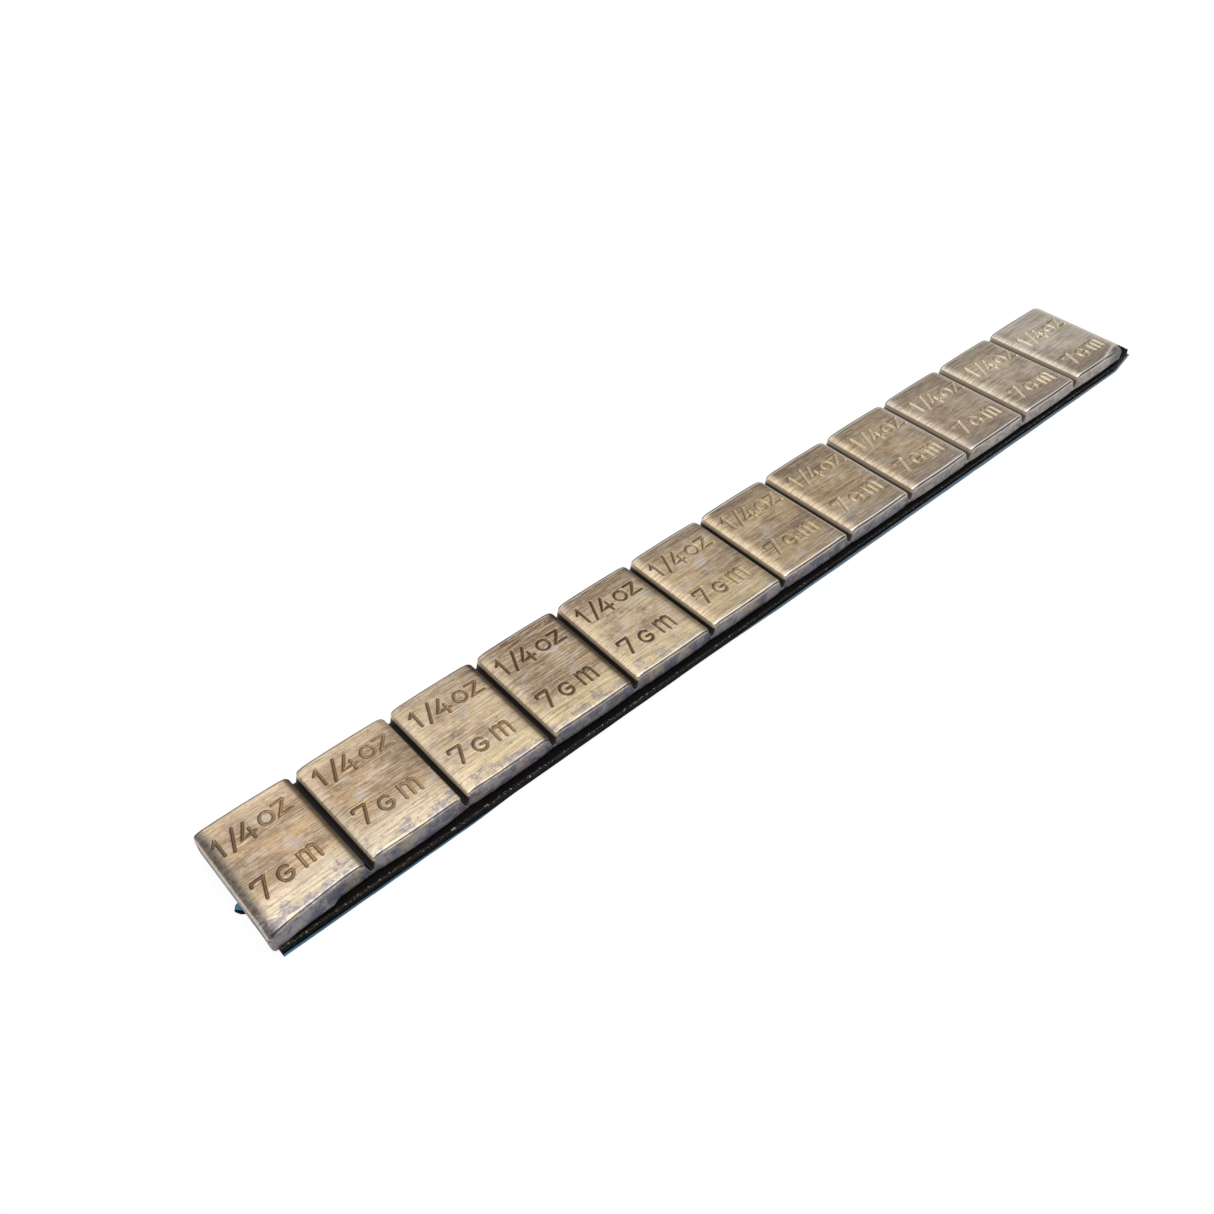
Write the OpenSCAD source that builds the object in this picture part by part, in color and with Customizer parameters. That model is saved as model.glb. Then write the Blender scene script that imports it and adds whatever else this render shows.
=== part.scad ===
// Stick-on wheel balance weight: one strip of coined lead, cut into equal segments by
// grooves that leave a thin web, on a black foam tape with its blue liner still on.
// Millimetres. +X runs along the strip to its far end, -Y is the side where the tape
// shows, +Z is up. The origin is on the liner's underside, below the strip's middle.

/* [Lead strip] */
// Number of segments that can be cut off
segment_count = 12; // [4:1:18]
// Distance from one groove to the next
pitch = 13.6; // [11:0.1:18]
// Width over the bulging sides
strip_w = 17.4; // [14:0.1:25]
// Thickness of the lead
strip_t = 2.8; // [2.2:0.05:4.5]
// How far each segment's long sides bow out between its corners
belly = 0.25; // [0.1:0.05:0.5]
// How far the side faces bulge between top and bottom
side_bulge = 0.2; // [0.1:0.05:0.5]
// Radius of each segment's four corners, seen from above
corner_r = 0.5; // [0.3:0.1:2]
// Radius of the lower long edges
lower_edge_r = 0.6; // [0.2:0.05:0.8]

/* [Rolled rims] */
// Width of the roll-over beside each groove
groove_rim_w = 1.5; // [0.5:0.1:2]
// Radius of the roll-over beside each groove
groove_rim_r = 3.6; // [2.5:0.1:8]
// Width of the roll-over along the long sides
side_rim_w = 0.8; // [0.3:0.1:2]
// Radius of the roll-over along the long sides
side_rim_r = 2.6; // [2.2:0.1:8]

/* [Grooves] */
// Width of a groove at its top
groove_w = 1; // [0.5:0.05:1.5]
// Width of a groove at its floor
groove_floor_w = 0.3; // [0.1:0.05:0.5]
// Thickness of the lead web under a groove
web_t = 0.9; // [0.5:0.05:1.2]
// How far the web's edges lie inside the segments' corners
web_inset = 0.05; // [0.05:0.05:0.5]

/* [Foam tape] */
// How much narrower the tape is than the lead
foam_narrower = 0.4; // [0:0.1:4]
// Thickness of the tape
foam_t = 1; // [0.5:0.05:2]
// How far the tape shows past the front side at the near end
lap_near = 1.15; // [0:0.05:1.5]
// How far the tape shows past the front side at the far end
lap_far = 0.35; // [0:0.05:1.5]
// Height of the slow wave in the tape's front edge
foam_wave = 0.2; // [0:0.05:0.25]
// Length of tape past the far end of the lead
foam_tail = 3.6; // [0.5:0.1:5]
// Length by which the tape falls short at the near end
foam_short = 0.65; // [0:0.05:1]
// Length of the slanting cut across the tail's front corner
tail_cut_l = 5.7; // [1:0.1:9]
// Width of that cut
tail_cut_w = 1.2; // [0.2:0.1:3]

/* [Release liner] */
// Thickness of the liner
liner_t = 0.12; // [0.05:0.01:0.3]
// How far the liner's straight front edge shows past the middle of the tape's wave
liner_lap = 0.3; // [0.3:0.05:0.8]
// Distance by which the liner shows past the tape at its back and its far end
liner_margin = 0.2; // [0.1:0.05:0.5]
// Width of the torn tab at the near end
tab_w = 2; // [1:0.1:6]
// Length of the tab past the near end of the lead
tab_out = 0.7; // [0.2:0.1:5]
// Distance of the tab's middle from the strip's centre line, towards the front
tab_y = 1.4; // [0:0.1:5]

/* [Hidden] */
$fn = 96;
big_arc_fn = 720;
edge_steps = 48;
eps = 0.01;

strip_l = segment_count * pitch;
half_w = strip_w / 2;
half_l = strip_l / 2;
foam_w = strip_w - foam_narrower;
foam_z = liner_t;
strip_z = foam_z + foam_t;

// Height that an arc of radius r loses over the distance w from its top
function arc_drop(r, w) = r - sqrt(r * r - w * w);

// Radius of an arc that rises by rise over a chord of length chord
function arc_radius(chord, rise) = (chord * chord / 4 + rise * rise) / (2 * rise);

// Half length of a segment's foot: up to a groove's floor, or to the strip's free end
function foot(free) = (pitch - (free ? 0 : groove_floor_w)) / 2;

// Line along which the tape is laid: a little askew to the strip
function laid(x) = -half_w - (lap_near + lap_far) / 2 + (lap_near - lap_far) * x / strip_l;

// Place of the tape's front edge at x
function foam_front(x) = laid(x) + foam_wave * sin(180 * x / half_l);

// Place of the liner's front edge at x
function liner_front(x) = laid(x) - liner_lap;

// Points along an edge, from x0 to x1
function edge_xs(x0, x1) = [for (i = [0 : edge_steps]) x0 + (x1 - x0) * i / edge_steps];

// A flat band that bulges up by rise between -l/2 and l/2
module bulge(l, rise) {
    r = arc_radius(l, rise);
    intersection() {
        translate([0, rise - r]) circle(r, $fn = big_arc_fn);
        translate([-l / 2, -eps]) square([l, rise + 2 * eps]);
    }
}

// Outline of height h whose level top rolls over at both ends
module rolled_top(l, h, rim_r, rim_w) {
    drop = arc_drop(rim_r, rim_w);
    flat_l = l - 2 * rim_w;
    translate([-l / 2, 0]) square([l, h - drop]);
    translate([-flat_l / 2, 0]) square([flat_l, h]);
    for (side = [-1, 1])
        intersection() {
            translate([side * flat_l / 2, h - rim_r]) circle(rim_r);
            translate([side * (flat_l + rim_w) / 2 - rim_w / 2 - eps, 0])
                square([rim_w + 2 * eps, h]);
        }
}

// Outline with round lower corners and sides that bulge out to the width w
module bulged_sides(w, h) {
    core_w = w - 2 * side_bulge;
    straight_w = core_w - 2 * lower_edge_r;
    translate([-straight_w / 2, 0]) square([straight_w, h]);
    translate([-core_w / 2, lower_edge_r]) square([core_w, h - lower_edge_r]);
    for (side = [-1, 1]) {
        translate([side * straight_w / 2, lower_edge_r]) circle(lower_edge_r);
        translate([side * core_w / 2, (h + lower_edge_r) / 2])
            rotate(-side * 90) bulge(h - lower_edge_r, side_bulge);
    }
}

// Section across the strip, in Y and Z
module strip_section(w) {
    intersection() {
        bulged_sides(w, strip_t);
        rolled_top(w, strip_t, side_rim_r, side_rim_w);
    }
}

// Side view of one segment of length l, in X and Z: its walls lean in above the web, by
// nothing at a free end, and its top rolls over at both sides
module segment_side_view(l, near_lean, far_lean) {
    intersection() {
        polygon([
            [-l / 2, 0], [l / 2, 0], [l / 2, web_t],
            [l / 2 - far_lean, strip_t], [near_lean - l / 2, strip_t], [-l / 2, web_t]
        ]);
        rolled_top(l, strip_t, groove_rim_r, groove_rim_w);
    }
}

// Outline of one segment of length l from above: round corners and bowed long sides
module segment_plan(l) {
    core_w = strip_w - 2 * belly;
    straight_l = l - 2 * corner_r;
    square([straight_l, core_w], center = true);
    square([l, core_w - 2 * corner_r], center = true);
    for (side = [-1, 1]) {
        translate([0, side * core_w / 2]) rotate(side > 0 ? 0 : 180) bulge(straight_l, belly);
        for (end = [-1, 1])
            translate([end * straight_l / 2, side * (core_w / 2 - corner_r)]) circle(corner_r);
    }
}

// Turns a section in Y and Z into a bar of length l about x = 0
module along_x(l) {
    rotate([90, 0, 90]) translate([0, 0, -l / 2]) linear_extrude(l) children();
}

// Turns a side view in X and Z into a slab of width w about y = 0
module along_y(w) {
    rotate([90, 0, 0]) translate([0, 0, -w / 2]) linear_extrude(w) children();
}

// One segment; near_free and far_free say whether it ends the strip there
module segment(near_free, far_free) {
    l = foot(near_free) + foot(far_free);
    lean = (groove_w - groove_floor_w) / 2;
    translate([(foot(far_free) - foot(near_free)) / 2, 0, 0])
        intersection() {
            along_x(l) strip_section(strip_w);
            along_y(strip_w) segment_side_view(l, near_free ? 0 : lean, far_free ? 0 : lean);
            translate([0, 0, -eps]) linear_extrude(strip_t + 2 * eps) segment_plan(l);
        }
}

// The thin web that joins all segments: the strip's sides run on below each notch
module web() {
    web_l = strip_l - 2 * corner_r;
    intersection() {
        along_x(web_l) strip_section(strip_w - 2 * (belly + web_inset));
        translate([-half_l, -half_w, 0]) cube([strip_l, strip_w, web_t]);
    }
}

module weight_strip() {
    color("#a98f70")
    translate([0, 0, strip_z]) {
        web();
        for (i = [0 : segment_count - 1])
            translate([(i + 0.5) * pitch - half_l, 0, 0]) segment(i == 0, i == segment_count - 1);
    }
}

// Outline of the foam tape: wavy long edges and a slanting cut at the tail
module foam_plan() {
    x0 = -half_l + foam_short;
    x1 = half_l + foam_tail;
    cut_x = x1 - tail_cut_l;
    front = [for (x = edge_xs(x0, cut_x)) [x, foam_front(x)]];
    back = [for (x = edge_xs(x1, x0)) [x, foam_front(x) + foam_w]];
    polygon(concat(front, [[x1, foam_front(cut_x) + tail_cut_w]], back));
}

module foam_tape() {
    color("#17161a")
    translate([0, 0, foam_z]) linear_extrude(foam_t) foam_plan();
}

// Outline of the liner: straight front edge, cut flush at the near end except for a torn tab
module liner_plan() {
    x0 = -half_l + foam_short;
    x1 = half_l + foam_tail + liner_margin;
    cut_x = x1 - tail_cut_l;
    back = [for (x = edge_xs(x1, x0)) [x, foam_front(x) + foam_w + liner_margin]];
    polygon(concat(
        [[x0, liner_front(x0)], [cut_x, liner_front(cut_x)], [x1, liner_front(cut_x) + tail_cut_w]],
        back
    ));
    translate([-half_l - tab_out, -tab_y - tab_w / 2]) square([tab_out + pitch / 2, tab_w]);
}

module release_liner() {
    color("#4f94bf") linear_extrude(liner_t) liner_plan();
}

weight_strip();
foam_tape();
release_liner();
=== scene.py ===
"""Looks of a stick-on wheel balance weight: scored lead strip, black foam tape, blue liner.

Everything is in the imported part's frame: +X along the strip to its far end, -Y towards the
front side, where the tape shows, +Z up. Shapes are worked out in millimetres and turned into
metres as they are built.
"""

import math
from types import SimpleNamespace

import bpy
import numpy as np
from mathutils import Matrix, Vector
from mathutils.geometry import delaunay_2d_cdt


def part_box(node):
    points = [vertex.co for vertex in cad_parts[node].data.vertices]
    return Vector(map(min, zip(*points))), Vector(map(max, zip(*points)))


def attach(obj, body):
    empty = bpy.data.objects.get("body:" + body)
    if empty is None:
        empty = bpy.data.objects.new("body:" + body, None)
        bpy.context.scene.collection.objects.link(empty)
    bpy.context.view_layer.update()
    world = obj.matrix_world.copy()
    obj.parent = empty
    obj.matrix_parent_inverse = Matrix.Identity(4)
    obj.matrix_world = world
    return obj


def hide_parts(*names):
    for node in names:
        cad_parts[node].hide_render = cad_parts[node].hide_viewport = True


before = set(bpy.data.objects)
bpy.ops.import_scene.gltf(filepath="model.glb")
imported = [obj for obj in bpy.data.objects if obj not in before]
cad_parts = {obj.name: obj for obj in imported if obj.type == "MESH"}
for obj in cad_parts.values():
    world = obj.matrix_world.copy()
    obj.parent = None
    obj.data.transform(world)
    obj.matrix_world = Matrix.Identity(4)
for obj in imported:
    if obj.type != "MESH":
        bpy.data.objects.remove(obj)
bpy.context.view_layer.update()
MM = 0.001

# Camera: the photograph's place and angle
CAMERA_PLACE = Vector((-94.7, -89.6, 122.8)) * MM
CAMERA_HEADING = math.radians(38.07)
CAMERA_DOWN = math.radians(45.04)
CAMERA_ROLL = math.radians(-3.64)
CAMERA_LENS = 36.65
SENSOR = 36
CLIP_START, CLIP_END = 0.005, 20


def add_object(name, data):
    """A new object of the scene that shows or uses the data."""
    made = bpy.data.objects.new(name, data)
    bpy.context.scene.collection.objects.link(made)
    return made


def make_camera():
    data = bpy.data.cameras.new("camera")
    data.lens = CAMERA_LENS
    data.sensor_width = SENSOR
    data.clip_start = CLIP_START
    data.clip_end = CLIP_END
    camera = add_object("camera", data)
    turn = (
        Matrix.Rotation(-CAMERA_HEADING, 4, "Z")
        @ Matrix.Rotation(math.pi / 2 - CAMERA_DOWN, 4, "X")
        @ Matrix.Rotation(CAMERA_ROLL, 4, "Z")
    )
    camera.matrix_world = Matrix.Translation(CAMERA_PLACE) @ turn
    bpy.context.scene.camera = camera


make_camera()

# Sizes in millimetres, from the frame where it has them and else as in the part's source
LEAD_LOW, LEAD_HIGH = (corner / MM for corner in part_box("weight_strip"))
FOAM_LOW, FOAM_HIGH = (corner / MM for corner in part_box("foam_tape"))
LINER_LOW, LINER_HIGH = (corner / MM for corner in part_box("release_liner"))
SEGMENTS = 12
GROOVE_W = 1.0
FLOOR_W = 0.3
WEB_T = 0.9
STRIP_Z = LEAD_LOW.z
STRIP_T = LEAD_HIGH.z - LEAD_LOW.z
HALF_W = (LEAD_HIGH.y - LEAD_LOW.y) / 2
PITCH = (LEAD_HIGH.x - LEAD_LOW.x) / SEGMENTS
HALF_L = LEAD_HIGH.x

# One segment's top: half length, groove walls, corners, bowed sides and rolled rims
TOP_A = PITCH / 2 - GROOVE_W / 2
WALL_LEAN = (GROOVE_W - FLOOR_W) / 2
CORNER_R = 0.5
BELLY = 0.25
SIDE_CORE = HALF_W - BELLY
GROOVE_RIM_W, GROOVE_RIM_R = 1.5, 3.6
SIDE_RIM_W, SIDE_RIM_R = 0.8, 2.6

# Where the worn strip differs from the solid: the web's half width, the back's share of the
# rim's roll, how far the long walls stand out at their tops, the radius of the edge round each
# top and of the lower edges, and how far the tops have sunk
WEB_Y = HALF_W - 0.28
BACK_RIM = 0.45
BACK_SHIFT = 0.13
FRONT_SHIFT = 0.1
EDGE_R = 0.12
LOWER_EDGE_R = 0.45
UNEVEN_DROP = 0.045

# A long side's bulge: height of its crest, half its height, its least share at top and foot,
# how far it still stands out beside a notch, and how far below the top the outline is taken
BULGE_CREST, BULGE_HALF, BULGE_LEAST = 1.45, 1.35, 0.3
BELLY_LEAST = 0.06
OUTLINE_DOWN = 0.2

# The last segment's front rim is bent down towards its corner: slope, and the bend's line,
# which leaves the front edge at DENT_START and runs inwards at DENT_ANGLE
FAR_CORNER_DENT = 0.5
DENT_START = 75.2
DENT_ANGLE = math.radians(16)
DENT_SOFTNESS = 0.2

# The first segment's front corner is splayed out and sags, and its top is a little beaten:
# how much, and how far from the near end and from the front side that starts and is full
SPLAY, SPLAY_ALONG, SPLAY_ACROSS = 0.6, (10.5, 2), (HALF_W - 3, 0)
SAG, FOOT_SAG, SAG_ALONG, SAG_ACROSS = 0.65, 0.4, (3.6, -0.4), (2.4, -0.2)
BEATEN, BEATEN_ALONG, BEATEN_ACROSS = 0.12, (4.5, 1), (3, 0)

# How far the foot of the front wall is squeezed out, by X, and how that fades up and inwards
FOOT_SPREAD = (
    (-81.6, 0.3), (-76.7, 0.4), (-73.5, 0.6), (-72.7, 0.22),
    (-68, 0.25), (-60, 0.42), (-54, 0.15), (-40, 0.05),
)
FOOT_HEIGHT, FOOT_POWER = 2.5, 0.8
FOOT_ACROSS = (1.2, 0.5)

# How far the long sides wander in, how rough their lower parts are, the bands along them that
# move, where the front shift starts and is full, and what keeps the two sides' noise apart
WANDER = 0.03
SIDE_ROUGHNESS, ROUGH_DOWN = 0.03, (0.2, 0.8)
SIDE_BAND, SHIFT_BAND = (2, 0), (2, 0.3)
FRONT_SHIFT_ALONG = (-72, -60)
SIDES_APART = 40

# The fine step along each long side, where the top ends short of the wall
STEP_PLACE = 0.14
STEP_DEPTH = 0.11
STEP_WIDTH = 0.06
STEP_FADE = 0.4

# The fine lip that the coining leaves along each segment's far rim
BURR_HEIGHT = 0.035
BURR_PLACE = 0.2
BURR_WIDTH = 0.06
BURR_FADE = 0.1

# How far each groove leans from its place, at the back and at the front edge
GROOVE_LEAN = (
    (-0.26, 0.13), (0, 0), (0.06, -0.12), (0.2, -0.14), (-0.1, 0), (0.04, 0),
    (-0.17, 0.16), (-0.11, -0.12), (-0.16, -0.02), (0.02, 0.2), (-0.19, 0.23),
)

# The stamped marks: half width of a stroke's hollow, and of the lip pushed up beside it
STROKE_HALF = 0.24
STROKE_LIP = 0.36
STROKE_DEPTH = 0.18
STROKE_CURVE = 2.2
LIP_HEIGHT = 0.02

# The painted shade and highlight on the marks' walls: the slope's way and reach, where the painted
# shade's dark line and the painted highlight's bright one run and how wide, and how dark the first is
# on level ground and by the slope
SLOPE_WAY = np.array((0.01, -0.02))
SLOPE_REACH = 0.034
DARK_LINE, DARK_WIDTH = 0.5 * STROKE_HALF, 0.1
BRIGHT_LINE, BRIGHT_WIDTH = 0.9 * STROKE_HALF, 0.09
DARK_LEVEL, DARK_GAIN = 0.3, 1.3

# Where each segment's marks were struck: shift along and across the strip, and turn in degrees
STRIKES = (
    (-0.49, 0.41, 4.5), (0.03, 0.78, -1.7), (0.04, 0.3, -2.2), (-0.06, 0.04, -0.7),
    (-0.07, 0, -0.6), (-0.07, 0, 0.3), (0.29, -0.03, -0.6), (0.43, -0.24, -0.7),
    (0.5, -0.53, -1.5), (0.58, -0.76, -2), (0.62, -1.08, -2.8), (0.65, -1.25, 1),
)
FIRST_STRIKE_SKEW = 0.068
SHALLOWEST, DEEPEST = 0.8, 1.15

# How brown each segment has turned, from 0, still pale, to 1
TARNISH = (0.4, 0.75, 0.1, 0.85, 0.15, 0.3, 0.55, 0.85, 0.5, 0.65, 0.1, 0.0)

# The tops' unevenness: so many waves, each with its wave numbers, its phase and its height
# between two limits; how far in from the edge it is full; and the most that a top is tilted
FIRST_SEED = 100
WAVES = 7
WAVE_LOW = (-1, -1, 0, 0.003)
WAVE_HIGH = (1, 1, 6.3, 0.011)
UNEVEN_FADE = 1
TILT = (0.003, 0.0025)

# How finely a segment is drawn: points along its notches, corners, long sides and cuts
NOTCH_POINTS, CORNER_POINTS, SIDE_POINTS, CUT_POINTS = 12, 10, 46, 60

# Rows of points inside a segment's outline, as distances in from its edges, rims and strokes
EDGE_ROWS = (-WALL_LEAN, -WALL_LEAN / 2, 0.0, 0.03, 0.07, EDGE_R)
RIM_ROWS = (0.17, 0.24, 0.4, 0.65, 1.0, 1.4)
SIDE_ROWS = (0.03, 0.06, 0.1, STEP_PLACE, 0.18, 0.22, 0.28, 0.36, 0.5, 0.7)
STROKE_ROWS = (0, 0.4 * STROKE_HALF, 0.72 * STROKE_HALF, STROKE_HALF, STROKE_LIP)
CORNER_ROW = 0.3
CORNER_ROW_POINTS = 9
ROW_MARGIN = 0.3

# The grid of points on a segment's flat part, and how close any two points may lie
GRID_STEP = 0.38
GRID_END, GRID_FRONT, GRID_BACK = 1.6, 0.95, 0.9
CLOSEST = 0.025
LOOP_CLEARANCE = 0.02
STROKE_CLEARANCE = 0.1
STROKE_STEP = 0.17
STROKE_CLOSEST = 0.6 * STROKE_STEP
OFFSET_ERROR = 0.02

# Points of a mesh that lie within about 1 / SHARED of each other are one point
SHARED = 5000
MERGE_GAP = 1e-5


def arc(cx, cy, rx, ry, start, end, steps):
    """Points on an elliptic arc, angles in degrees, counter-clockwise from +X."""
    angles = np.radians(np.linspace(start, end, steps))
    return [(cx + rx * math.cos(a), cy + ry * math.sin(a)) for a in angles]


# Each glyph's strokes in a box of height 1, as wide as it needs
GLYPHS = {
    "1": [[(0, 0.74), (0.23, 1), (0.23, 0)]],
    "/": [[(0, -0.03), (0.43, 1.06)]],
    "4": [[(0.44, 1), (0, 0.27), (0.7, 0.27)], [(0.5, 0.58), (0.5, -0.04)]],
    "o": [arc(0.45, 0.5, 0.45, 0.5, 90, 450, 28)],
    "z": [[(0, 1), (0.8, 1), (0, 0), (0.94, 0)]],
    "7": [[(0, 0.82), (0.03, 1), (0.63, 1), (0.24, 0)]],
    "g": [arc(0.42, 0.5, 0.42, 0.5, 42, 345, 20) + [(0.82, 0.46), (0.44, 0.46)]],
    "m": [
        [(0, 0), (0, 1)],
        [(0, 0.8)] + arc(0.25, 0.74, 0.24, 0.26, 165, 0, 9) + [(0.49, 0)],
        [(0.49, 0.8)] + arc(0.73, 0.74, 0.24, 0.26, 165, 0, 9) + [(0.97, 0)],
    ],
}

# Marks of one segment: glyph, left edge, baseline and height, from the segment's middle
MARKS = [
    ("1", -5.2, 3.33, 2.75),
    ("/", -3.42, 3.08, 2.95),
    ("4", -1.95, 3.08, 2.75),
    ("o", 0.9, 3.4, 1.9),
    ("z", 3.1, 3.4, 2),
    ("7", -4.48, -4.88, 2.75),
    ("g", -1.47, -4.77, 2.05),
    ("m", 1.67, -4.82, 2.25),
]


def ease(x, low, high):
    """Smooth step from 0 at low to 1 at high."""
    t = np.clip((x - low) / (high - low), 0, 1)
    return t * t * (3 - 2 * t)


def close(distance, start, full):
    """0 where the distance is start or more, smoothly up to 1 where it is full or less."""
    return ease(-distance, -start, -full)


def gauss(x, middle, width):
    """A bell of height 1 at middle."""
    return np.exp(-((x - middle) / width) ** 2)


def grain(points, size, seed):
    """Smooth random values from -1 to 1 over points, with features of that size."""
    scaled = np.asarray(points, float) / size
    cell = np.floor(scaled).astype(np.int64)
    part = scaled - cell
    part = part * part * (3 - 2 * part)
    total = np.zeros(len(scaled))
    dims = scaled.shape[1]
    for corner in np.ndindex(*(2,) * dims):
        key = np.full(len(scaled), seed * 7919 + 17, np.int64)
        weight = np.ones(len(scaled))
        for axis in range(dims):
            key = (key * 73856093) ^ ((cell[:, axis] + corner[axis]) * 19349663 + 83492791 * axis)
            key = (key ^ (key >> 13)) & 0x7FFFFFFF
            weight = weight * (part[:, axis] if corner[axis] else 1 - part[:, axis])
        key = (key * 1103515245 + 12345) & 0x7FFFFFFF
        key = ((key ^ (key >> 15)) * 2246822519) & 0x7FFFFFFF
        total += weight * (key / 0x3FFFFFFF - 1)
    return total


def stroke_lines():
    """All strokes of a segment's marks, as arrays of points."""
    return [
        np.array([(x + px * size, y + py * size) for px, py in points])
        for glyph, x, y, size in MARKS
        for points in GLYPHS[glyph]
    ]


def distance_to(lines, points):
    """Distance from each point to the nearest stroke."""
    best = np.full(len(points), 1e9)
    for line in lines:
        for a, b in zip(line[:-1], line[1:]):
            along = b - a
            t = np.clip(((points - a) @ along) / (along @ along), 0, 1)
            gap = points - a - t[:, None] * along
            best = np.minimum(best, np.hypot(gap[:, 0], gap[:, 1]))
    return best


def thin_out(points, gap):
    """Drops points that lie closer than gap to one kept before."""
    cells = {}
    for p in points:
        cx, cy = math.floor(p[0] / gap), math.floor(p[1] / gap)
        near = [cells.get((cx + i, cy + j)) for i in (-1, 0, 1) for j in (-1, 0, 1)]
        if all(q is None or math.hypot(q[0] - p[0], q[1] - p[1]) >= gap for q in near):
            cells[(cx, cy)] = p
    return np.array(list(cells.values()))


def round_strokes(lines, offset):
    """Points at one distance round every stroke: they shape its floor, its walls or its lip."""
    found = []
    for line in lines:
        for a, b in zip(line[:-1], line[1:]):
            along = b - a
            length = math.hypot(*along)
            side = np.array((-along[1], along[0])) / length * offset
            for t in np.linspace(0, 1, 1 + max(1, round(length / STROKE_STEP))):
                found += [a + t * along + side, a + t * along - side]
        for end, inner in ((line[0], line[1]), (line[-1], line[-2])):
            turn = math.atan2(*(end - inner)[::-1])
            steps = 3 + round(offset * math.pi / STROKE_STEP)
            for angle in turn + np.linspace(-math.pi / 2, math.pi / 2, steps):
                found.append(end + offset * np.array((math.cos(angle), math.sin(angle))))
    found = np.array(found)
    return thin_out(found[np.abs(distance_to(lines, found) - offset) < OFFSET_ERROR], STROKE_CLOSEST)


def arc_drop(distance, width, radius):
    """Height lost at a distance inside an edge that rolls over with that width and radius."""
    run = np.clip(width - distance, 0, width)
    return radius - np.sqrt(radius * radius - run * run)


def side_profile(u, z):
    """How far the long side stands out past its core, at u along a segment and at height z."""
    belly = np.clip(1 - (u / (TOP_A - CORNER_R)) ** 2, 0, 1)
    curve = 1 - ((z - BULGE_CREST) / BULGE_HALF) ** 2
    bulge = np.clip(BULGE_LEAST + (1 - BULGE_LEAST) * curve, 0, 1)
    low = np.clip(LOWER_EDGE_R - z, 0, LOWER_EDGE_R)
    under = LOWER_EDGE_R - np.sqrt(LOWER_EDGE_R ** 2 - low * low)
    return (BELLY_LEAST + (BELLY - BELLY_LEAST) * belly) * bulge - under


def top_half_y(u):
    """Half width of a segment's top at u, before its corners are rounded."""
    return SIDE_CORE + side_profile(u, STRIP_T - OUTLINE_DOWN)


def outside_distance(u, v):
    """Signed distance to the outline of a segment's top: negative inside it."""
    qx = np.abs(u) - (TOP_A - CORNER_R)
    qy = np.abs(v) - (top_half_y(u) - CORNER_R)
    beyond = np.hypot(np.maximum(qx, 0), np.maximum(qy, 0))
    return beyond + np.minimum(np.maximum(qx, qy), 0) - CORNER_R


def boundary_y(u):
    """Half width at u where the side wall starts: the segment's own, or the web's in a notch."""
    run = np.clip(np.abs(u) - (TOP_A - CORNER_R), 0, CORNER_R)
    corner = CORNER_R - np.sqrt(CORNER_R ** 2 - run * run)
    return np.maximum(top_half_y(u) - corner, WEB_Y)


def past_bend(x, y):
    """How far a point lies past the line where the last segment's rim is bent down."""
    return (x - DENT_START) * math.sin(DENT_ANGLE) - (y + HALF_W) * math.cos(DENT_ANGLE)


def triangulate(loop, inner):
    """Triangles over a closed loop of points and free points inside it."""
    flat = [Vector(p) for p in loop] + [Vector(p) for p in inner]
    coords, _, triangles, origins, *_ = delaunay_2d_cdt(
        flat, [], [list(range(len(loop)))], 1, MERGE_GAP)
    return coords, triangles, origins


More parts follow.
